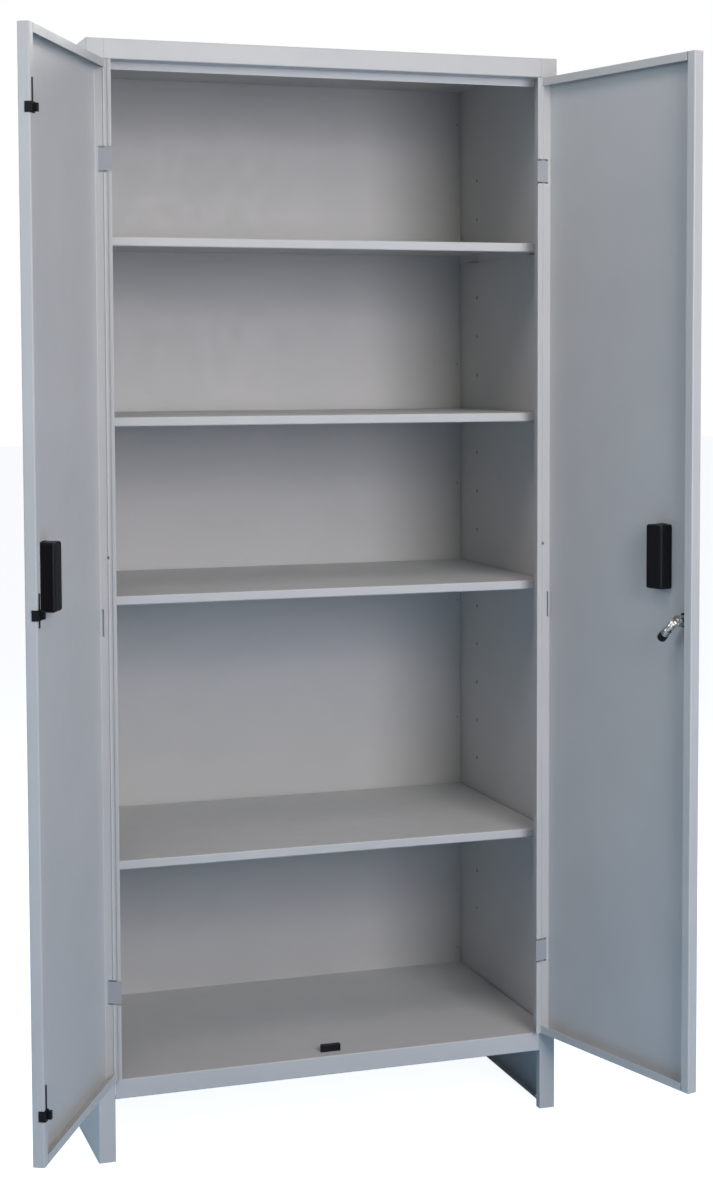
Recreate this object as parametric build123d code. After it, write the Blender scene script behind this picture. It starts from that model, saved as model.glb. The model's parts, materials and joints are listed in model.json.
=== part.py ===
from build123d import *
from math import cos, radians, sin
import os

os.makedirs("parts", exist_ok=True)

# A free-standing two-door sheet-steel storage cabinet on side feet, doors standing open.
# X runs to the viewer's right, Y to the back, Z up. The origin is the middle of the footprint.
# Everything is drawn with the front plane at Y = 0 and moved back over the origin when written.
# Left-hand pieces are drawn with X measured from the outer left side, and mirrored for the right.

# Overall size
cabinet_height = 1800.0
cabinet_width = 800.0
cabinet_depth = 450.0

# Sheet steel and the clearances that every fit is worked out from
sheet = 1.0
bend_radius = 1.6
seam_gap = 0.2
cut_overrun = 2.0

# Side panels: wall, front post folded as a box, rear flange and foot
post_width = 28.0
post_depth = 30.0
post_inner_flange = 19.0
rear_flange = 16.0
foot_return = 14.5
foot_flange = 14.0

# Holes for the shelf clips in the side walls
clip_hole_pitch = 72.0
clip_hole_bottom = 260.0
clip_hole_below_top = 172.0
clip_hole_radius = 3.5
clip_hole_from_front = 84.0
clip_hole_from_back = 86.0

# Top panel with fascia and door stop lip
fascia_height = 32.0
stop_lip_setback = 30.0
stop_lip_height = 12.0
panel_side_fold = 20.0
top_hole_radius = 3.0
top_hole_from_side = 157.0
top_hole_from_back = 23.0

# Floor panel
floor_top = 135.0
floor_lip_height = 32.0
floor_lip_return = 20.0
floor_side_gap = 2.5
floor_side_contact = 50.0

# Back panel and its rivets
rivet_radius = 2.4
rivet_head_radius = 4.0
rivet_head_height = 1.0
rivets_per_side = 8
rivet_end_inset = 60.0

# Holes for floor anchors in the foot flanges
anchor_hole_radius = 3.3
anchor_hole_inset = 60.0

# Shelves, counted from the top, each on clips in a hole row given as a share of the rows
shelf_row_shares = [0.9, 0.68, 0.47, 0.16]
shelf_lip_height = 15.0
shelf_lip_return = 10.0
shelf_setback = 32.0
shelf_back_gap = 4.0
shelf_side_gap = 4.0
shelf_above_hole = 9.5

# Shelf clips
clip_plate = 2.0
clip_width = 18.0
clip_tab_reach = 15.0
clip_plate_above_hole = 5.0
clip_hook_clearance = 0.2

# Doors, set in between the posts, the fascia and the floor lip
door_side_gap = 2.0
door_centre_gap = 2.0
door_top_gap = 2.0
door_bottom_gap = 2.0
door_hinge_wall = 28.0
door_edge_wall = 18.0
door_edge_return = 16.0
door_end_return = 13.0
door_end_return_gap = 2.0
door_hem_width = 3.0
door_hem_depth = 6.0
door_hem_rounding = 1.2
door_ridge_radius = 1.5
door_ridge_depth = 15.6
left_open_angle = 117.7
right_open_angle = 105.8

# Small openings in the hinge wall of each door
wall_slot_width = 4.0
wall_slot_length = 43.0
wall_slot_depth = 5.0
wall_slot_height = 880.0
wall_eye_radius = 2.5
wall_eye_depth = 15.5
wall_eye_height = 984.0
wall_relief_front = 9.0
wall_relief_length = 8.0
wall_relief_height = 3.0

# Hinges: a hooked arm on the door swings round the edge of the post on a hidden pin
hinge_from_door_top = 155.0
hinge_from_door_bottom = 145.0
pin_from_side = 20.5
pin_from_front = 5.0
pin_radius = 2.0
pin_clearance = 0.05
pin_head_radius = 3.4
pin_head_height = 1.5
pin_end = 1.5
knuckle_wall = 1.5
arm_thickness = 2.5
arm_height = 35.0
arm_end_gap = 0.5
arm_hook_clearance = 0.75
arm_web_angle = 135.0
arm_tip_angle = 32.0
hinge_slot_margin = 3.0
hinge_slot_rear = 19.0
hinge_notch_front = 6.0
bracket_thickness = 2.0
bracket_depth = 11.0
bracket_front_gap = 0.5
bracket_beyond_pin = 4.5

# Handle cups: black recessed pulls pressed through the doors
cup_width = 36.0
cup_height = 102.0
cup_depth = 24.0
cup_wall = 2.0
cup_from_edge = 82.0
cup_middle_height = 983.0
cup_back_rounding = 4.0
cup_corner_rounding = 4.0
cup_inner_rounding = 3.0
cup_clearance = 0.3
bezel_border = 4.0
bezel_thickness = 2.0
snap_reach = 1.2
snap_thickness = 3.0
snap_width = 14.0

# Buffers round the slotted edge flange of the left door, each low in its slot and with a strip
# that fills the slot
buffer_slot_from_door_top = 101.0
buffer_slot_from_door_bottom = 94.0
buffer_slot_below_cup_middle = 41.5
buffer_slot_length = 50.0
buffer_slot_width = 7.0
buffer_slot_from_edge = 10.0
buffer_below_slot_middle = [17.0, 6.0, 18.5]
buffer_height = 15.5
buffer_width = 15.0
buffer_wrap = 8.0
buffer_plate = 3.0
buffer_block_width = 7.0
buffer_block_height = 12.0
buffer_block_reach = 5.5
buffer_strip_clearance = 0.3
buffer_strip_depth = 5.0
buffer_strip_proud = 0.5

# Cam lock in the right door
lock_from_edge = 27.0
lock_height = 886.0
barrel_radius = 9.0
barrel_hole_clearance = 0.3
barrel_rim_radius = 11.5
barrel_rim_thickness = 2.0
barrel_length = 21.7
plug_radius = 6.0
plug_running_gap = 0.05
keyway_width = 1.4
keyway_length = 7.0
keyway_depth = 6.0
lock_nut_radius = 13.0
lock_nut_thickness = 7.0
lock_nut_ring_thickness = 2.0
lock_nut_across_flats = 22.0
cam_end_gap = 0.3
drive_width = 7.0
drive_clearance = 0.1
cam_hub_radius = 8.5
cam_hub_thickness = 3.0
cam_screw_radius = 4.5
cam_screw_thickness = 2.0
cam_screw_slot = 1.0
cam_neck_radius = 4.5
cam_neck_start = 5.0
cam_neck_end = 42.0
cam_neck_offset = 7.0
cam_elbow_radius = 6.5
cam_collar_radius = 7.0
cam_collar_thickness = 2.2
cam_collar_gap = 1.4
cam_collar_start = 21.0
cam_collar_count = 3
cam_tip_radius = 7.5
cam_tip_length = 12.0
cam_tip_wall = 2.0
cam_rest_angle = 45.0

# Catch on the floor in the middle of the front
catch_width = 34.0
catch_thickness = 6.0
catch_height = 13.0
catch_rounding = 2.0
catch_setback = 21.0
catch_peg_radius = 2.5
catch_peg_clearance = 0.2
catch_peg_length = 4.0
catch_peg_spacing = 20.0

# Planes that follow from the sizes above
half_width = cabinet_width / 2
bend_inside = bend_radius - sheet / 2
rear_face = cabinet_depth - rivet_head_height
back_panel_rear = rear_face - sheet
back_panel_front = back_panel_rear - sheet
ceiling = cabinet_height - sheet
floor_underside = floor_top - floor_lip_height
fascia_bottom = cabinet_height - fascia_height
header_depth = stop_lip_setback + sheet
shelf_side_wall = half_width - shelf_side_gap

# Rows of clip holes that fit between the lowest and the highest, and the rows that carry shelves
clip_hole_span = cabinet_height - clip_hole_below_top - clip_hole_bottom
clip_hole_last_row = round(clip_hole_span / clip_hole_pitch)
shelf_hole_rows = [round(share * clip_hole_last_row) for share in shelf_row_shares]

# Door planes, with X from the outer side
door_hinge_x = post_width + door_side_gap
door_edge_x = half_width - door_centre_gap / 2
door_bottom = floor_top + door_bottom_gap
door_top = fascia_bottom - door_top_gap
hinge_heights = [door_top - hinge_from_door_top, door_bottom + hinge_from_door_bottom]
buffer_slot_heights = [
    door_top - buffer_slot_from_door_top,
    cup_middle_height - buffer_slot_below_cup_middle,
    door_bottom + buffer_slot_from_door_bottom,
]

# The hook of the hinge arm clears the front edge of the post by the hook clearance
post_edge_reach = ((post_width - pin_from_side) ** 2 + pin_from_front ** 2) ** 0.5
hook_inner = post_edge_reach + arm_hook_clearance
hook_outer = hook_inner + arm_thickness
knuckle_radius = pin_radius + knuckle_wall
leaf_near = door_hinge_x - pin_from_side
leaf_front = hinge_notch_front - pin_from_front
leaf_rear = door_hinge_wall - pin_from_front

# Lock planes, with Y from the front of the door
lock_x = door_edge_x - lock_from_edge
cam_near = barrel_length + cam_end_gap
cam_far = cam_near + cam_hub_thickness
cam_axis_y = cam_near + cam_neck_offset


# Left-hand X from a distance measured inwards from the outer left side
def from_side(distance):
    return distance - half_width


# A block between two opposite corners
def block(x0, x1, y0, y1, z0, z1):
    middle = Pos((x0 + x1) / 2, (y0 + y1) / 2, (z0 + z1) / 2)
    return middle * Box(x1 - x0, y1 - y0, z1 - z0)


# A round bar along Z between two heights
def bar_z(x, y, radius, z0, z1):
    return Pos(x, y, (z0 + z1) / 2) * Cylinder(radius, z1 - z0)


# A round bar along Y between two depths
def bar_y(x, z, radius, y0, y1):
    return Pos(x, (y0 + y1) / 2, z) * Rot(90, 0, 0) * Cylinder(radius, y1 - y0)


# A round bar along X between two places
def bar_x(y, z, radius, x0, x1):
    return Pos((x0 + x1) / 2, y, z) * Rot(0, 90, 0) * Cylinder(radius, x1 - x0)


# Sheet folded along a line of points on the middle of its thickness, then drawn out
def folded(points, plane, length):
    line = FilletPolyline(*points, radius=bend_radius)
    return extrude(plane * trace(line, line_width=sheet), amount=length)


def mirrored(shape):
    return mirror(shape, about=Plane.YZ)


# Swing a door piece, drawn closed on the left, to its open rest pose
def swing_left(shape):
    pin_x = from_side(pin_from_side)
    turned = Rot(0, 0, -left_open_angle) * Pos(-pin_x, -pin_from_front, 0) * shape
    return Pos(pin_x, pin_from_front, 0) * turned


# Mirror a door piece, drawn closed on the left, and swing it to its open rest pose on the right
def swing_right(shape):
    pin_x = -from_side(pin_from_side)
    turned = Rot(0, 0, right_open_angle) * Pos(-pin_x, -pin_from_front, 0) * mirrored(shape)
    return Pos(pin_x, pin_from_front, 0) * turned


# Side panel: one folded sheet from the floor to the top, with slots for the hinges.
# Beside the fascia the front edge of the post is square, and below the floor panel the inner
# side of the post is cut back to a narrow return.
def side_panel():
    mid = sheet / 2
    points = [
        (from_side(post_width - post_inner_flange), post_depth - mid),
        (from_side(post_width - mid), post_depth - mid),
        (from_side(post_width - mid), mid),
        (from_side(mid), mid),
        (from_side(mid), rear_face - mid),
        (from_side(rear_flange), rear_face - mid),
    ]
    panel = folded(points, Plane.XY, ceiling)
    panel += block(from_side(post_width - bend_radius - mid), from_side(post_width), 0,
                   bend_radius + mid, fascia_bottom, ceiling)
    panel += block(from_side(mid), from_side(foot_flange), post_depth + bend_radius,
                   rear_face - mid, 0, sheet)
    panel -= block(from_side(sheet + mid), from_side(post_width + cut_overrun), foot_return,
                   post_depth + mid, -cut_overrun, floor_underside)
    slot_half = arm_height / 2 + hinge_slot_margin
    for height in hinge_heights:
        panel -= block(from_side(post_width - sheet - mid), from_side(post_width + cut_overrun), sheet,
                       hinge_slot_rear, height - slot_half, height + slot_half)
    panel -= [
        bar_x(y, clip_hole_bottom + row * clip_hole_pitch, clip_hole_radius,
              from_side(-cut_overrun), from_side(cut_overrun))
        for row in range(clip_hole_last_row + 1)
        for y in clip_columns()
    ]
    panel -= [
        bar_z(from_side(foot_flange / 2), y, anchor_hole_radius, -cut_overrun, cut_overrun)
        for y in anchor_rows()
    ]
    panel -= [
        bar_y(from_side(rear_flange / 2), z, rivet_radius, back_panel_rear - cut_overrun / 2,
              cabinet_depth + cut_overrun)
        for z in rivet_heights()
    ]
    return panel


def clip_columns():
    return [clip_hole_from_front, cabinet_depth - clip_hole_from_back]


def anchor_rows():
    return [anchor_hole_inset, cabinet_depth - anchor_hole_inset]


def rivet_heights():
    first = floor_underside + rivet_end_inset
    last = ceiling - rivet_end_inset
    step = (last - first) / (rivets_per_side - 1)
    return [first + step * i for i in range(rivets_per_side)]


# Back panel: a flat sheet lying against the rear flanges of the side panels
def back_panel():
    reach = half_width - sheet - bend_inside - seam_gap
    panel = block(-reach, reach, back_panel_front, back_panel_rear, floor_underside, ceiling)
    for side in (-1, 1):
        for z in rivet_heights():
            x = side * (half_width - rear_flange / 2)
            panel -= bar_y(x, z, rivet_radius, 0, cabinet_depth)
    return panel


# Domed rivets that hold the back panel to both side panels
def back_panel_rivets():
    rivets = []
    for side in (-1, 1):
        for z in rivet_heights():
            x = side * (half_width - rear_flange / 2)
            shank = bar_y(x, z, rivet_radius, back_panel_front, rear_face)
            head = bar_y(x, z, rivet_head_radius, rear_face, cabinet_depth)
            head = fillet(head.faces().sort_by(Axis.Y)[-1].edges(), rivet_head_height / 2)
            rivets.append(shank + head)
    return Compound(children=rivets)


# Sheet with a folded front edge, drawn between the posts
def front_fold(points):
    reach = half_width - post_width - seam_gap
    plane = Plane.YZ.offset(-reach)
    return folded(points, plane, 2 * reach)


# Top panel: sheet over the whole top, fascia, door stop lip and folds on the other three sides
def top_panel():
    mid = sheet / 2
    sheet_edge = 2 * bend_radius
    reach = half_width - post_width - seam_gap
    panel = block(-half_width, half_width, 0, rear_face, ceiling, cabinet_height)
    panel -= block(-reach, reach, -cut_overrun, sheet_edge, ceiling - cut_overrun,
                   cabinet_height + cut_overrun)
    panel += front_fold([
        (sheet_edge + mid, cabinet_height - mid),
        (mid, cabinet_height - mid),
        (mid, fascia_bottom + mid),
        (header_depth - mid, fascia_bottom + mid),
        (header_depth - mid, fascia_bottom - stop_lip_height),
    ])
    inner = half_width - sheet
    for side in (-1, 1):
        near, far = sorted((side * inner, side * (inner - sheet)))
        panel += block(near, far, post_depth + seam_gap, back_panel_front, cabinet_height - panel_side_fold,
                       cabinet_height - mid)
        x = side * (half_width - top_hole_from_side)
        panel -= bar_z(x, cabinet_depth - top_hole_from_back, top_hole_radius,
                       ceiling - cut_overrun, cabinet_height + cut_overrun)
    panel += block(-inner, inner, back_panel_front - sheet, back_panel_front,
                   cabinet_height - panel_side_fold, cabinet_height - mid)
    return panel


# Floor panel: sheet notched round the posts, front lip and folds on the other three sides.
# Its sides stand off the side walls by a gap that closes only at the back.
def floor_panel():
    mid = sheet / 2
    inner = half_width - sheet
    fold_outer = inner - floor_side_gap
    notch = half_width - post_width - seam_gap
    sheet_edge = 2 * bend_radius
    panel = block(-inner, inner, sheet_edge, back_panel_front, floor_top - sheet, floor_top)
    for side in (-1, 1):
        near, far = sorted((side * notch, side * half_width))
        panel -= block(near, far, -cut_overrun, post_depth + seam_gap, floor_underside,
                       floor_top + cut_overrun)
        near, far = sorted((side * fold_outer, side * half_width))
        panel -= block(near, far, post_depth, back_panel_front - floor_side_contact, floor_underside,
                       floor_top + cut_overrun)
    panel += front_fold([
        (floor_lip_return, floor_underside + mid),
        (mid, floor_underside + mid),
        (mid, floor_top - mid),
        (sheet_edge + mid, floor_top - mid),
    ])
    for side in (-1, 1):
        near, far = sorted((side * fold_outer, side * (fold_outer - sheet)))
        panel += block(near, far, post_depth + seam_gap, back_panel_front, floor_top - panel_side_fold,
                       floor_top - mid)
    panel += block(-inner, inner, back_panel_front - sheet, back_panel_front,
                   floor_top - panel_side_fold, floor_top - mid)
    for x in catch_peg_places():
        panel -= bar_z(x, catch_setback + catch_thickness / 2, catch_peg_radius + catch_peg_clearance,
                       floor_top - cut_overrun, floor_top + cut_overrun)
    return panel


def catch_peg_places():
    return [-catch_peg_spacing / 2, catch_peg_spacing / 2]


# Upper face of a shelf resting on clips in a given row of holes
def shelf_top(row):
    return clip_hole_bottom + row * clip_hole_pitch + shelf_above_hole


# Shelf: sheet with a returned lip in front and plain folds at the back and both ends
def shelf(top):
    mid = sheet / 2
    front = shelf_setback
    rear = back_panel_front - shelf_back_gap
    bottom = top - shelf_lip_height
    points = [
        (front + shelf_lip_return, bottom + mid),
        (front + mid, bottom + mid),
        (front + mid, top - mid),
        (rear - mid, top - mid),
        (rear - mid, bottom),
    ]
    board = folded(points, Plane.YZ.offset(-shelf_side_wall), 2 * shelf_side_wall)
    for side in (-1, 1):
        near, far = sorted((side * shelf_side_wall, side * (shelf_side_wall - sheet)))
        board += block(near, far, front + bend_radius, rear - mid, bottom, top - mid)
    return board


# Shelf clip on the left wall: a square hook in the hole, a plate on the wall and a tab under the shelf
def shelf_clip(row, y):
    hole_height = clip_hole_bottom + row * clip_hole_pitch
    tab_top = shelf_top(row) - shelf_lip_height
    wall = from_side(sheet + seam_gap)
    half = clip_width / 2
    plate = block(wall, wall + clip_plate, y - half, y + half, tab_top - clip_plate,
                  hole_height + clip_plate_above_hole)
    tab = block(wall, wall + clip_tab_reach, y - half, y + half, tab_top - clip_plate, tab_top)
    hook_half = (clip_hole_radius - clip_hook_clearance) / 2 ** 0.5
    hook = block(from_side(seam_gap), wall, y - hook_half, y + hook_half,
                 hole_height - hook_half, hole_height + hook_half)
    return plate + tab + hook


# Catch in the middle of the floor: a rounded block on two pegs
def floor_catch():
    half = catch_width / 2
    rear = catch_setback + catch_thickness
    catch = block(-half, half, catch_setback, rear, floor_top, floor_top + catch_height)
    catch = fillet(catch.faces().sort_by(Axis.Z)[-1].edges(), catch_rounding)
    for x in catch_peg_places():
        catch += bar_z(x, catch_setback + catch_thickness / 2, catch_peg_radius,
                       floor_top - catch_peg_length, floor_top)
    return catch


# Hinge bracket inside the left post: a plate on the side wall with two ears for the pin
def hinge_bracket(height):
    inner = arm_height / 2 + arm_end_gap
    outer = inner + bracket_thickness
    wall = from_side(sheet)
    front = sheet + bracket_front_gap
    rear = front + bracket_depth
    reach = from_side(pin_from_side + bracket_beyond_pin)
    web_front = sheet + bend_inside + seam_gap
    bracket = block(wall, wall + bracket_thickness, web_front, rear, height - outer, height + outer)
    for side in (-1, 1):
        low, high = sorted((height + side * inner, height + side * outer))
        bracket += block(wall + bracket_thickness / 2, reach, front, rear, low, high)
    bracket -= bar_z(from_side(pin_from_side), pin_from_front, pin_radius + pin_clearance,
                     height - outer - cut_overrun, height + outer + cut_overrun)
    return bracket


# The two pins of the left door, hanging by their heads in the upper ears
def hinge_pins():
    x = from_side(pin_from_side)
    reach = arm_height / 2 + arm_end_gap + bracket_thickness
    pins = []
    for height in hinge_heights:
        top = height + reach
        pin = bar_z(x, pin_from_front, pin_radius, height - reach - pin_end, top)
        pin += bar_z(x, pin_from_front, pin_head_radius, top, top + pin_head_height)
        pins.append(pin)
    return Compound(children=pins)


# Hinge arm of the left door: a knuckle, a web, a hook round the post edge and a leaf in the
# notch of the hinge wall
def hinge_arm(height):
    far = 2 * hook_outer
    angles = (arm_tip_angle, (arm_tip_angle + arm_web_angle) / 2, arm_web_angle)
    rim = [(far * cos(radians(a)), far * sin(radians(a))) for a in angles]
    hook = (Circle(hook_outer) - Circle(hook_inner)) & Polygon((0, 0), *rim, align=None)
    web = Rot(0, 0, arm_web_angle) * Pos(hook_inner / 2 + arm_thickness / 4, 0)
    web *= Rectangle(hook_inner + arm_thickness / 2, arm_thickness)
    leaf = Pos(leaf_near + sheet / 2, (leaf_front + leaf_rear) / 2)
    leaf *= Rectangle(sheet, leaf_rear - leaf_front)
    profile = Circle(knuckle_radius) + web + hook + leaf - Circle(pin_radius + pin_clearance)
    arm = Pos(0, 0, -arm_height / 2) * extrude(profile, amount=arm_height)
    return Pos(from_side(pin_from_side), pin_from_front, height) * arm


# Door panel drawn closed on the left: a tray with a hemmed and ridged hinge wall, and with
# returns on its top and bottom walls that stop short of the edge return
def door_panel():
    mid = sheet / 2
    hinge_x = from_side(door_hinge_x)
    edge_x = from_side(door_edge_x)
    points = [
        (hinge_x + mid, door_hinge_wall - door_hem_depth / 2),
        (hinge_x + mid, mid),
        (edge_x - mid, mid),
        (edge_x - mid, door_edge_wall - mid),
        (edge_x - door_edge_return, door_edge_wall - mid),
    ]
    height = door_top - door_bottom
    panel = folded(points, Plane.XY.offset(door_bottom), height)
    hem = Pos(hinge_x + door_hem_width / 2, door_hinge_wall - door_hem_depth / 2)
    hem *= RectangleRounded(door_hem_width, door_hem_depth, door_hem_rounding)
    panel += extrude(Plane.XY.offset(door_bottom) * hem, amount=height)
    panel += bar_z(hinge_x + sheet, door_ridge_depth, door_ridge_radius, door_bottom, door_top)
    panel -= block(hinge_x - cut_overrun, hinge_x, 0, door_hinge_wall, door_bottom, door_top)
    for low in (door_bottom, door_top - sheet):
        panel += block(hinge_x + bend_radius, edge_x - bend_radius, mid, door_edge_wall, low, low + sheet)
    return_far = edge_x - door_edge_return - door_end_return_gap
    for low in (door_bottom, door_top - door_end_return):
        panel += block(hinge_x + mid, return_far, door_edge_wall - sheet, door_edge_wall,
                       low, low + door_end_return)
    panel -= hinge_wall_openings()
    panel -= cup_opening()
    return panel


# What is cut from the hinge wall: a notch at each hinge, a slot, a small round hole and a
# relief above the bottom wall
def hinge_wall_openings():
    near = from_side(door_hinge_x) - cut_overrun
    far = from_side(door_hinge_x) + door_hem_width + cut_overrun
    half = arm_height / 2 + hinge_slot_margin
    cuts = [
        block(near, far, hinge_notch_front, door_hinge_wall + cut_overrun, height - half, height + half)
        for height in hinge_heights
    ]
    wall_far = from_side(door_hinge_x) + sheet + cut_overrun
    cuts.append(block(near, wall_far, wall_slot_depth - wall_slot_width / 2,
                      wall_slot_depth + wall_slot_width / 2, wall_slot_height - wall_slot_length / 2,
                      wall_slot_height + wall_slot_length / 2))
    cuts.append(bar_x(wall_eye_depth, wall_eye_height, wall_eye_radius, near, wall_far))
    relief_bottom = door_bottom + sheet
    cuts.append(block(near, wall_far, wall_relief_front, wall_relief_front + wall_relief_length,
                      relief_bottom, relief_bottom + wall_relief_height))
    return cuts


def cup_opening():
    x = from_side(door_edge_x - cup_from_edge)
    width = cup_width + 2 * cup_clearance
    height = cup_height + 2 * cup_clearance
    hole = extrude(Plane.XZ * RectangleRounded(width, height, cup_corner_rounding + cup_clearance),
                   amount=cut_overrun, both=True)
    return Pos(x, 0, cup_middle_height) * hole


# Handle cup drawn closed on the left: bezel outside, rounded hollow body inside, two snaps
def handle_cup():
    bezel = extrude(Plane.XZ * RectangleRounded(cup_width + 2 * bezel_border, cup_height + 2 * bezel_border,
                                                cup_corner_rounding + bezel_border),
                    amount=bezel_thickness)
    bezel = fillet(bezel.faces().sort_by(Axis.Y)[0].edges(), bezel_thickness / 2)
    body = extrude(Plane.XZ * RectangleRounded(cup_width, cup_height, cup_corner_rounding),
                   amount=-cup_depth)
    body = fillet(body.faces().sort_by(Axis.Y)[-1].edges(), cup_back_rounding)
    cavity_length = cup_depth - cup_wall + bezel_thickness
    cavity = extrude(Plane.XZ.offset(bezel_thickness)
                     * RectangleRounded(cup_width - 2 * cup_wall, cup_height - 2 * cup_wall,
                                        cup_inner_rounding),
                     amount=-cavity_length)
    cavity = fillet(cavity.faces().sort_by(Axis.Y)[-1].edges(), cup_back_rounding - cup_wall)
    cup = bezel + body - cavity
    for side in (-1, 1):
        low, high = sorted((side * (cup_height / 2 - cup_wall / 2), side * (cup_height / 2 + snap_reach)))
        cup += block(-snap_width / 2, snap_width / 2, sheet, sheet + snap_thickness, low, high)
    return Pos(from_side(door_edge_x - cup_from_edge), 0, cup_middle_height) * cup


# Slots for the buffers in the edge flange of the left door
def buffer_slots():
    x = from_side(door_edge_x - buffer_slot_from_edge)
    half = buffer_slot_width / 2
    return [
        block(x - half, x + half, door_edge_wall - sheet - cut_overrun, door_edge_wall + cut_overrun,
              z - buffer_slot_length / 2, z + buffer_slot_length / 2)
        for z in buffer_slot_heights
    ]


# Buffer: a plate on the flange that wraps round the edge wall into half the gap between the
# doors, a strip that fills the slot and a block that stands off the plate
def door_buffer(slot_height, below):
    x = from_side(door_edge_x - buffer_slot_from_edge)
    z = slot_height - below
    far = from_side(half_width)
    plate_rear = door_edge_wall + buffer_plate
    strip_half = buffer_slot_width / 2 - buffer_strip_clearance
    strip_reach = buffer_slot_length / 2 - buffer_strip_clearance
    low, high = z - buffer_height / 2, z + buffer_height / 2
    part = block(far - buffer_width, far, door_edge_wall, plate_rear, low, high)
    part += block(from_side(door_edge_x), far, door_edge_wall - buffer_wrap, plate_rear, low, high)
    part += block(x - buffer_block_width / 2, x + buffer_block_width / 2, plate_rear,
                  plate_rear + buffer_block_reach, z - buffer_block_height / 2, z + buffer_block_height / 2)
    part += block(x - strip_half, x + strip_half, door_edge_wall - buffer_strip_depth,
                  door_edge_wall + buffer_strip_proud, slot_height - strip_reach,
                  slot_height + strip_reach)
    return part


def door_buffers():
    pairs = zip(buffer_slot_heights, buffer_below_slot_middle)
    return Compound(children=[door_buffer(z, below) for z, below in pairs])


# Round hole for the lock barrel
def lock_hole():
    return bar_y(lock_x - half_width, lock_height, barrel_radius + barrel_hole_clearance,
                 -cut_overrun, cut_overrun)


# Pieces of the lock are drawn round the Y axis and then placed in the closed door
def in_lock(shape):
    return Pos(from_side(lock_x), 0, lock_height) * shape


def lock_barrel():
    barrel = bar_y(0, 0, barrel_rim_radius, -barrel_rim_thickness, 0)
    barrel = fillet(barrel.faces().sort_by(Axis.Y)[0].edges(), barrel_rim_thickness / 2)
    barrel += bar_y(0, 0, barrel_radius, 0, barrel_length)
    barrel -= bar_y(0, 0, plug_radius + plug_running_gap, -barrel_rim_thickness - cut_overrun,
                    barrel_length + cut_overrun)
    return barrel


# Black nut with a round flange, tightened on the barrel against the inside of the door
def lock_nut():
    nut = bar_y(0, 0, lock_nut_radius, sheet, sheet + lock_nut_ring_thickness)
    prism = Plane.XZ.offset(-sheet) * RegularPolygon(lock_nut_across_flats / 2, 6, major_radius=False)
    nut += extrude(prism, amount=-lock_nut_thickness)
    nut -= bar_y(0, 0, barrel_radius, 0, sheet + lock_nut_thickness + cut_overrun)
    return nut


# Turning plug with a keyway in front and a square drive behind
def lock_plug():
    plug = bar_y(0, 0, plug_radius, -barrel_rim_thickness, cam_near)
    plug -= block(-keyway_width / 2, keyway_width / 2, -barrel_rim_thickness - cut_overrun,
                  keyway_depth - barrel_rim_thickness, -keyway_length / 2, keyway_length / 2)
    half = drive_width / 2
    return plug + block(-half, half, cam_near, cam_far, -half, half)


def cam_screw():
    screw = bar_y(0, 0, cam_screw_radius, cam_far, cam_far + cam_screw_thickness)
    return screw - block(-cam_screw_radius, cam_screw_radius, cam_far + cam_screw_thickness / 2,
                         cam_far + cam_screw_thickness + cut_overrun, -cam_screw_slot / 2,
                         cam_screw_slot / 2)


# Place along the cam's arm: Z of the drawn piece becomes the way down towards the hinge
def along_cam(shape):
    return Rot(0, -90 - cam_rest_angle, 0) * Pos(0, cam_axis_y, 0) * shape


# Cam: a hub on the square drive, an elbow and a round neck
def lock_cam():
    hub = bar_y(0, 0, cam_hub_radius, cam_near, cam_far)
    neck = along_cam(bar_z(0, 0, cam_neck_radius, cam_neck_start, cam_neck_end))
    elbow_start = cam_neck_start + cam_elbow_radius
    elbow = along_cam(Pos(0, 0, elbow_start) * Sphere(cam_elbow_radius))
    web = along_cam(block(-cam_neck_radius, cam_neck_radius, cam_near - cam_axis_y, 0, 0, elbow_start))
    cam = hub + neck + elbow + web
    half = drive_width / 2 + drive_clearance
    cam -= block(-half, half, cam_near - cut_overrun, cam_far, -half, half)
    cam -= bar_y(0, 0, cam_screw_radius + drive_clearance, cam_far, cam_axis_y + cam_elbow_radius * 2)
    cam -= bar_y(0, 0, barrel_rim_radius, 0, cam_near)
    return cam


# Bright collars on the neck of the cam
def cam_collars():
    rings = []
    for i in range(cam_collar_count):
        start = cam_collar_start + i * (cam_collar_thickness + cam_collar_gap)
        ring = bar_z(0, 0, cam_collar_radius, start, start + cam_collar_thickness)
        ring -= bar_z(0, 0, cam_neck_radius, 0, cam_neck_end)
        rings.append(along_cam(ring))
    return Compound(children=rings)


# Black rubber cap over the end of the neck
def cam_tip():
    end = cam_neck_end + cam_tip_wall
    tip = bar_z(0, 0, cam_tip_radius, end - cam_tip_length, end)
    tip = fillet(tip.faces().sort_by(Axis.Z)[-1].edges(), cam_tip_radius / 2)
    tip -= bar_z(0, 0, cam_neck_radius, 0, cam_neck_end)
    return along_cam(tip)


# Write one named piece, moved so that the middle of the footprint is the origin
def write(name, shape):
    export_step(Pos(0, -cabinet_depth / 2, 0) * shape, f"parts/{name}.step")


side = side_panel()
write("side_panel_left", side)
write("side_panel_right", mirrored(side))
write("back_panel", back_panel())
write("back_panel_rivets", back_panel_rivets())
write("top_panel", top_panel())
write("floor_panel", floor_panel())
write("floor_catch", floor_catch())
for number, row in enumerate(shelf_hole_rows, start=1):
    write(f"shelf_{number}", shelf(shelf_top(row)))
    for place, y in zip(("front", "rear"), clip_columns()):
        clip = shelf_clip(row, y)
        write(f"shelf_{number}_clip_{place}_left", clip)
        write(f"shelf_{number}_clip_{place}_right", mirrored(clip))

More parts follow.
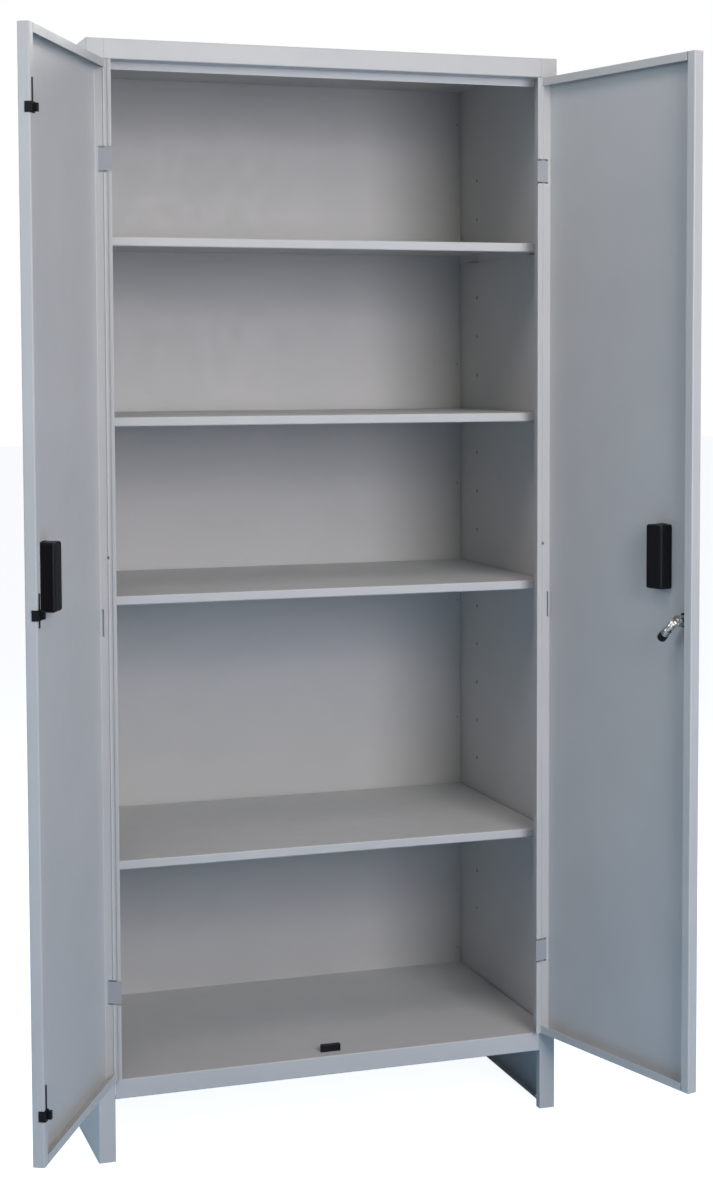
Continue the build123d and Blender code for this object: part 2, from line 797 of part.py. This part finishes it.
pins = hinge_pins()
write("hinge_pins_left", pins)
write("hinge_pins_right", mirrored(pins))
for place, height in zip(("top", "bottom"), hinge_heights):
    bracket = hinge_bracket(height)
    write(f"hinge_bracket_left_{place}", bracket)
    write(f"hinge_bracket_right_{place}", mirrored(bracket))
    arm = hinge_arm(height)
    write(f"hinge_arm_left_{place}", swing_left(arm))
    write(f"hinge_arm_right_{place}", swing_right(arm))

door = door_panel()
write("door_panel_left", swing_left(door - buffer_slots()))
write("door_panel_right", swing_right(door - lock_hole()))
cup = handle_cup()
write("handle_cup_left", swing_left(cup))
write("handle_cup_right", swing_right(cup))
write("door_buffers_left", swing_left(door_buffers()))

write("lock_barrel", swing_right(in_lock(lock_barrel())))
write("lock_nut", swing_right(in_lock(lock_nut())))
write("lock_plug", swing_right(in_lock(lock_plug())))
write("lock_cam", swing_right(in_lock(lock_cam())))
write("lock_cam_screw", swing_right(in_lock(cam_screw())))
write("lock_cam_collars", swing_right(in_lock(cam_collars())))
write("lock_cam_tip", swing_right(in_lock(cam_tip())))
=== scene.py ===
import json
from math import cos, pi, radians, sin

import bmesh
import bpy
from mathutils import Matrix, Vector


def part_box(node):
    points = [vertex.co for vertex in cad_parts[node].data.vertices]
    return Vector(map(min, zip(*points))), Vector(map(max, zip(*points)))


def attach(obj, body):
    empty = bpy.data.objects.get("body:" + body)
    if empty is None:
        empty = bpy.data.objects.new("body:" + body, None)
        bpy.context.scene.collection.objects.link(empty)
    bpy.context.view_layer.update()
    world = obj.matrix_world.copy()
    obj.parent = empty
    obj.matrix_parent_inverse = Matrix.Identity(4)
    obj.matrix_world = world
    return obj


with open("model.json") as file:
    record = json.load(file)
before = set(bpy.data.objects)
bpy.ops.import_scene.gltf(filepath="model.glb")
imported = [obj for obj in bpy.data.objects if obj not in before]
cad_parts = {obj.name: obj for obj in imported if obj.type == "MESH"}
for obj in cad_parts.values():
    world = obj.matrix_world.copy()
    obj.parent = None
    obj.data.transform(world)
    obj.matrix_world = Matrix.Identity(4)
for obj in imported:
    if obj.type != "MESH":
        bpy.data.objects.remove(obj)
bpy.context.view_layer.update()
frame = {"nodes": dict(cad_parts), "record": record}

nodes = frame["nodes"]
record = frame["record"]
mm_per_metre = 1000

# The photograph's frame, in pixels
frame_width = 713
frame_height = 1181

# The curve between 8-bit screen values and linear light
screen_top = 255
curve_straight_end = 0.04045
curve_straight_slope = 12.92
curve_offset = 0.055
curve_power = 2.4


# Linear colour from 8-bit screen values
def screen(red, green, blue):
    def linear(value):
        share = value / screen_top
        if share <= curve_straight_end:
            return share / curve_straight_slope
        return ((share + curve_offset) / (1 + curve_offset)) ** curve_power
    return linear(red), linear(green), linear(blue), 1.0


def new_object(name, data):
    thing = bpy.data.objects.new(name, data)
    bpy.context.scene.collection.objects.link(thing)
    return thing


def add_node(tree, kind, **settings):
    node = tree.nodes.new(kind)
    for key, value in settings.items():
        setattr(node, key, value)
    return node


# Where most values of a noise lie
noise_start = 0.3
noise_end = 0.7


# A material with its principled shader, ready for more nodes
class Finish:
    def __init__(self, name):
        self.material = bpy.data.materials.new(name)
        self.material.use_nodes = True
        self.tree = self.material.node_tree
        self.shader = self.tree.nodes["Principled BSDF"]
        self.place = self.add("ShaderNodeTexCoord").outputs["Object"]

    def add(self, kind, **settings):
        return add_node(self.tree, kind, **settings)

    def join(self, source, target):
        self.tree.links.new(source, target)

    # A socket takes a plain value, or what another socket gives
    def put(self, value, target):
        if isinstance(value, bpy.types.NodeSocket):
            self.join(value, target)
        else:
            target.default_value = value

    # Noise over the object's own coordinates, in metres: its kind is its number of blotches per
    # metre and its levels of finer detail
    def noise(self, kind, stretch=None):
        per_metre, detail = kind
        place = self.place
        if stretch is not None:
            mapping = self.add("ShaderNodeMapping")
            mapping.inputs["Scale"].default_value = stretch
            self.join(place, mapping.inputs["Vector"])
            place = mapping.outputs["Vector"]
        node = self.add("ShaderNodeTexNoise")
        node.inputs["Scale"].default_value = per_metre
        node.inputs["Detail"].default_value = detail
        self.join(place, node.inputs["Vector"])
        return node.outputs["Fac"]

    # A value spread from low to high while the source goes from start to end
    def spread(self, source, low=0, high=1, start=noise_start, end=noise_end):
        node = self.add("ShaderNodeMapRange")
        limits = {"From Min": start, "From Max": end, "To Min": low, "To Max": high}
        for key, value in limits.items():
            node.inputs[key].default_value = value
        self.join(source, node.inputs["Value"])
        return node.outputs["Result"]

    # A colour between two, or their product, as far as the share says
    def blend(self, share, first, second, how="MIX"):
        node = self.add("ShaderNodeMix", data_type="RGBA", blend_type=how)
        self.put(share, node.inputs["Factor"])
        for key, value in (("A", first), ("B", second)):
            self.put(value, [i for i in node.inputs if i.name == key and i.type == "RGBA"][0])
        return [o for o in node.outputs if o.type == "RGBA"][0]

    # A bump with its depth in metres, on top of another if there is one
    def bump(self, source, depth, under=None):
        node = self.add("ShaderNodeBump")
        node.inputs["Distance"].default_value = depth
        self.join(source, node.inputs["Height"])
        if under is not None:
            self.join(under, node.inputs["Normal"])
        return node.outputs["Normal"]

    # Sockets of the shader, written with _ for each space in their names
    def set(self, **values):
        for key, value in values.items():
            self.put(value, self.shader.inputs[key.replace("_", " ")])


# Powder coat. Each noise has its blotches per metre and its levels of finer detail.
coat_tone = (7, 4)
coat_speck = (900, 1)
coat_gloss = (35, 3)
coat_wave = (4.5, 1)
coat_peel = (520, 2)
coat_speck_start = 0.42
coat_speck_end = 0.58
coat_speck_share = 0.12
coat_speck_dark = screen(196, 198, 195)
coat_speck_light = screen(212, 213, 209)
coat_roughness_low = 0.40
coat_roughness_high = 0.50
coat_peel_depth = 0.00006
coat_specular = 0.3


# Gloss and fine orange peel of powder coat, over slow waves where the sheet has them
def coat_surface(finish, wave_depth=None):
    finish.set(Roughness=finish.spread(finish.noise(coat_gloss), coat_roughness_low,
                                       coat_roughness_high))
    waves = None
    if wave_depth is not None:
        waves = finish.bump(finish.noise(coat_wave), wave_depth)
    finish.set(Normal=finish.bump(finish.noise(coat_peel), coat_peel_depth, waves),
               Specular_IOR_Level=coat_specular)


# Light grey powder coat on thin sheet, with faint changes of tone and fine specks
def powder_coat(name, pale, deep, wave_depth):
    finish = Finish(name)
    tone = finish.spread(finish.noise(coat_tone))
    grain = finish.spread(finish.noise(coat_speck), start=coat_speck_start, end=coat_speck_end)
    base = finish.blend(tone, pale, deep)
    speck = finish.blend(grain, coat_speck_dark, coat_speck_light)
    finish.set(Base_Color=finish.blend(coat_speck_share, base, speck, "MULTIPLY"))
    coat_surface(finish, wave_depth)
    return finish.material


# Bright metal. Its scratches lie level, because their noise is squeezed along Z.
metal_tone = (160, 3)
metal_gloss = (400, 2)
metal_scratch = (300, 3)
metal_scratch_stretch = (1, 1, 9)
metal_dim_share = 0.82


# Zinc-plated or chromed steel with fine scratches
def bright_metal(name, colour, roughness_low, roughness_high, scratch_depth):
    finish = Finish(name)
    tone = finish.spread(finish.noise(metal_tone))
    dim = tuple(c * metal_dim_share for c in colour[:3]) + (1.0,)
    finish.set(Base_Color=finish.blend(tone, colour, dim))
    finish.set(Roughness=finish.spread(finish.noise(metal_gloss), roughness_low, roughness_high))
    scratches = finish.noise(metal_scratch, metal_scratch_stretch)
    finish.set(Normal=finish.bump(scratches, scratch_depth), Metallic=1.0)
    return finish.material


# Moulded plastic and rubber
plastic_tone = (60, 3)
plastic_gloss = (220, 2)
plastic_grain = (1500, 1)
plastic_specular = 0.22


# Black moulded plastic or rubber with a fine grain
def moulded(name, colour, pale, roughness_low, roughness_high, grain_depth):
    finish = Finish(name)
    tone = finish.spread(finish.noise(plastic_tone))
    finish.set(Base_Color=finish.blend(tone, colour, pale))
    finish.set(Roughness=finish.spread(finish.noise(plastic_gloss), roughness_low, roughness_high))
    finish.set(Normal=finish.bump(finish.noise(plastic_grain), grain_depth),
               Specular_IOR_Level=plastic_specular)
    return finish.material


# The recipe of each material slot, with its colours, its roughness from low to high where the
# recipe takes one, and the depth of its waves, scratches or grain in metres
paint_pale = screen(212, 212, 210)
paint_deep = screen(207, 208, 206)
recipes = {
    "carcass_paint": (powder_coat, paint_pale, paint_deep, 0.0003),
    "shelf_paint": (powder_coat, paint_pale, paint_deep, 0.0005),
    "door_paint": (powder_coat, paint_pale, paint_deep, 0.0006),
    # Hinge leaves: paint darker and bluer than the body's, which is painted shade of the recess
    # they sit in
    "hinge_paint": (powder_coat, screen(180, 184, 188), screen(170, 175, 180), 0.0001),
    "clip_zinc": (bright_metal, screen(190, 192, 194), 0.30, 0.45, 0.00002),
    "zinc_steel": (bright_metal, screen(188, 190, 192), 0.28, 0.42, 0.00002),
    "lock_chrome": (bright_metal, screen(214, 212, 208), 0.10, 0.20, 0.00001),
    "black_plastic": (moulded, screen(6, 6, 11), screen(11, 11, 17), 0.40, 0.52, 0.00003),
    "buffer_plastic": (moulded, screen(5, 5, 10), screen(9, 9, 14), 0.50, 0.60, 0.00003),
    "black_rubber": (moulded, screen(16, 17, 19), screen(24, 25, 27), 0.50, 0.65, 0.00005),
}
materials = {slot: recipe(slot, *values) for slot, (recipe, *values) in recipes.items()}
for entry in record["subparts"]:
    mesh = nodes[entry["node"]].data
    mesh.materials.clear()
    mesh.materials.append(materials[entry["material_slot"]])

# Thin dished discs that close the clip holes at the outer face of each side wall. Inside the
# hole they carry painted shade, a dark blue-grey that stands for the shadow in the hole. Each
# ring has its radius as a share of the hole's and its depth in from the outer face. The first
# ring holds the flat face that shows on the outside, and the others lead to the middle of the
# dish.
clip_hole_pitch = 0.072
disc_points = 24
disc_rings = [(0.994, 0.00002), (0.994, 0.00016), (0.86, 0.00010), (0.55, 0.00006)]
disc_middle = 0.00005

# Distance from the cabinet's middle, in metres, over which the painted shade in a hole turns to
# paint
outer_face_start = 0.39996
outer_face_end = 0.39997

# Painted shade: the dark blue-grey of the inside of each clip hole, in two tones
hole_tone = (200, 2)
hole_painted_shade_pale = screen(96, 112, 122)
hole_painted_shade_deep = screen(84, 100, 110)


# Painted shade inside the hole, and like the rest of the side wall on the outer face
def make_painted_hole_shade():
    finish = Finish("hole_shade")
    tone = finish.spread(finish.noise(hole_tone))
    shade = finish.blend(tone, hole_painted_shade_pale, hole_painted_shade_deep)
    paint = finish.blend(tone, paint_pale, paint_deep)
    split = finish.add("ShaderNodeSeparateXYZ")
    finish.join(finish.place, split.inputs["Vector"])
    reach = finish.add("ShaderNodeMath", operation="ABSOLUTE")
    finish.join(split.outputs["X"], reach.inputs[0])
    outside = finish.spread(reach.outputs[0], start=outer_face_start, end=outer_face_end)
    finish.set(Base_Color=finish.blend(outside, shade, paint))
    coat_surface(finish)
    return finish.material


painted_hole_shade_material = make_painted_hole_shade()


# The points and faces of the disc in one hole
def clip_hole_disc(wall, inward, y, z, radius):
    points = []
    for share, depth in disc_rings:
        for i in range(disc_points):
            turn = 2 * pi * i / disc_points
            points.append((wall + inward * depth, y + share * radius * cos(turn),
                           z + share * radius * sin(turn)))
    middle = len(points)
    points.append((wall + inward * disc_middle, y, z))
    faces = [tuple(range(disc_points))]
    for start in range(0, middle, disc_points):
        for i in range(disc_points):
            here, following = start + i, start + (i + 1) % disc_points
            if start + disc_points < middle:
                faces.append((here, here + disc_points, following + disc_points, following))
            else:
                faces.append((here, middle, following))
    return points, faces


# The discs of one side wall, in one piece
def clip_hole_bottoms(side):
    name = "clip_hole_bottoms_" + side
    mount = [m for m in record["mounts"] if m["name"] == "clip_hole_rows_" + side][0]
    inward = mount["axis"][0]
    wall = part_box("side_panel_" + side)[0 if inward > 0 else 1][0]
    across = mount["dims"]["spacing_x_mm"] / mm_per_metre
    tall = mount["dims"]["spacing_y_mm"] / mm_per_metre
    radius = mount["dims"]["hole_r_mm"] / mm_per_metre
    points, faces = [], []
    for row in range(round(tall / clip_hole_pitch) + 1):
        z = mount["pos_m"][2] - tall / 2 + row * clip_hole_pitch
        for column in (-1, 1):
            y = mount["pos_m"][1] + column * across / 2
            more, more_faces = clip_hole_disc(wall, inward, y, z, radius)
            start = len(points)
            points += more
            faces += [tuple(start + i for i in face) for face in more_faces]
    mesh = bpy.data.meshes.new(name)
    mesh.from_pydata(points, [], faces)
    build = bmesh.new()
    build.from_mesh(mesh)
    bmesh.ops.recalc_face_normals(build, faces=build.faces)
    build.to_mesh(mesh)
    build.free()
    for face in mesh.polygons:
        face.use_smooth = len(face.vertices) < disc_points
    mesh.materials.append(painted_hole_shade_material)
    piece = new_object(name, mesh)
    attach(piece, "carcass")


clip_hole_bottoms("left")
clip_hole_bottoms("right")

# Camera at the photograph's angle: place, turn and lens fitted to the cabinet's edges. The
# principal point is in the photograph's pixels, the sensor and the lens in millimetres.
camera_place = Vector((-1.0246, -3.4662, 1.2870))
camera_yaw = radians(18.289)
camera_pitch = radians(-3.733)
camera_roll = radians(-0.210)
camera_sensor = 36.0
camera_lens = 63.158
camera_clip_end = 60.0
principal_x = 359.1
principal_y = 500.6


def make_camera():
    forward = Vector((sin(camera_yaw) * cos(camera_pitch), cos(camera_yaw) * cos(camera_pitch),
                      sin(camera_pitch)))
    level = Vector((cos(camera_yaw), -sin(camera_yaw), 0))
    up = level.cross(forward)
    right = level * cos(camera_roll) + up * sin(camera_roll)
    above = up * cos(camera_roll) - level * sin(camera_roll)
    turn = Matrix((right, above, -forward)).transposed().to_4x4()
    data = bpy.data.cameras.new("camera")
    data.sensor_width = camera_sensor
    data.lens = camera_lens
    data.shift_x = (frame_width / 2 - principal_x) / frame_height
    data.shift_y = (principal_y - frame_height / 2) / frame_height
    data.clip_end = camera_clip_end
    camera = new_object("camera", data)
    camera.matrix_world = Matrix.Translation(camera_place) @ turn
    bpy.context.scene.camera = camera


make_camera()


# How much of the background's own light a ray sees: one level for the camera's rays, another
# for those of gloss and see-through surfaces, and none for all other rays
def background_rays(tree, camera_level, other_level):
    path = add_node(tree, "ShaderNodeLightPath")
    seen = None
    for ray, level in (("Is Camera Ray", camera_level), ("Is Glossy Ray", other_level),
                       ("Is Transmission Ray", other_level)):
        share = add_node(tree, "ShaderNodeMath", operation="MULTIPLY")
        share.inputs[1].default_value = level
        tree.links.new(path.outputs[ray], share.inputs[0])
        if seen is None:
            seen = share.outputs[0]
        else:
            either = add_node(tree, "ShaderNodeMath", operation="MAXIMUM")
            tree.links.new(seen, either.inputs[0])
            tree.links.new(share.outputs[0], either.inputs[1])
            seen = either.outputs[0]
    return seen


# Pale floor with a cool bounce. Where it is seen it glows nearly white, so that only the
# cabinet's own shadow stays darker than the white room. It glows less in reflections.
floor_reach = 30.0
floor_tone = (1.5, 3)
floor_pale = screen(176, 214, 244)
floor_deep = screen(170, 210, 242)
floor_roughness = 0.9
floor_glow = 0.92
floor_reflected_glow = 0.2


def make_floor():
    corners = [(-floor_reach, -floor_reach, 0), (floor_reach, -floor_reach, 0),
               (floor_reach, floor_reach, 0), (-floor_reach, floor_reach, 0)]
    mesh = bpy.data.meshes.new("floor")
    mesh.from_pydata(corners, [], [(0, 1, 2, 3)])
    floor = new_object("floor", mesh)
    finish = Finish("floor")
    tone = finish.spread(finish.noise(floor_tone))
    finish.set(Base_Color=finish.blend(tone, floor_pale, floor_deep),
               Roughness=floor_roughness, Specular_IOR_Level=0.0)
    level = background_rays(finish.tree, floor_glow, floor_reflected_glow)
    glow = finish.add("ShaderNodeEmission")
    finish.join(level, glow.inputs["Strength"])
    both = finish.add("ShaderNodeAddShader")
    finish.join(finish.shader.outputs["BSDF"], both.inputs[0])
    finish.join(glow.outputs["Emission"], both.inputs[1])
    finish.join(both.outputs["Shader"], finish.tree.nodes["Material Output"].inputs["Surface"])
    mesh.materials.append(finish.material)


make_floor()

# Dim cool room that lights the cabinet a little. The camera, the gloss and see-through surfaces
# see it as white.
room_strength = 0.06
room_colour = (0.80, 0.84, 1.0, 1.0)
room_seen = 1.0
white = (1.0, 1.0, 1.0, 1.0)


def make_world():
    world = bpy.data.worlds.new("room")
    bpy.context.scene.world = world
    world.use_nodes = True
    tree = world.node_tree
    tree.nodes.clear()
    seen = background_rays(tree, room_seen, room_seen)
    dim = add_node(tree, "ShaderNodeBackground")
    dim.inputs["Color"].default_value = room_colour
    dim.inputs["Strength"].default_value = room_strength
    bright = add_node(tree, "ShaderNodeBackground")
    bright.inputs["Color"].default_value = white
    mix = add_node(tree, "ShaderNodeMixShader")
    tree.links.new(seen, mix.inputs["Fac"])
    tree.links.new(dim.outputs[0], mix.inputs[1])
    tree.links.new(bright.outputs[0], mix.inputs[2])
    output = add_node(tree, "ShaderNodeOutputWorld")
    tree.links.new(mix.outputs[0], output.inputs["Surface"])


make_world()

# Soft boxes round the cabinet, at one distance from its middle: azimuth to the viewer's right
# and elevation in degrees, power in watts, and colour
light_middle = Vector((0.0, -0.1, 0.95))
light_distance = 3.4
light_size = 1.3
soft_boxes = {
    "front_right_low": (12, 12, 44.0, (0.935, 0.90, 1.0)),
    "front_right_high": (8, 28, 21.0, (1.0, 0.96, 0.86)),
    "top_left": (-35, 55, 20.0, (1.0, 0.88, 0.90)),
    "far_left": (-75, 20, 23.0, (0.70, 0.88, 1.0)),
    "rear_left": (-145, 25, 14.0, (1.0, 0.98, 0.94)),
    "rear_right": (135, 25, 30.0, (1.0, 0.98, 0.94)),
}


def soft_box(name, azimuth, elevation, power, colour):
    azimuth, elevation = radians(azimuth), radians(elevation)
    way = Vector((sin(azimuth) * cos(elevation), -cos(azimuth) * cos(elevation),
                  sin(elevation)))
    data = bpy.data.lights.new(name, "AREA")
    data.size = light_size
    data.energy = power
    data.color = colour
    light = new_object(name, data)
    light.location = light_middle + way * light_distance
    light.rotation_euler = (-way).to_track_quat("-Z", "Y").to_euler()


for box_name, box in soft_boxes.items():
    soft_box(box_name, *box)

bpy.context.scene.view_settings.view_transform = "Standard"
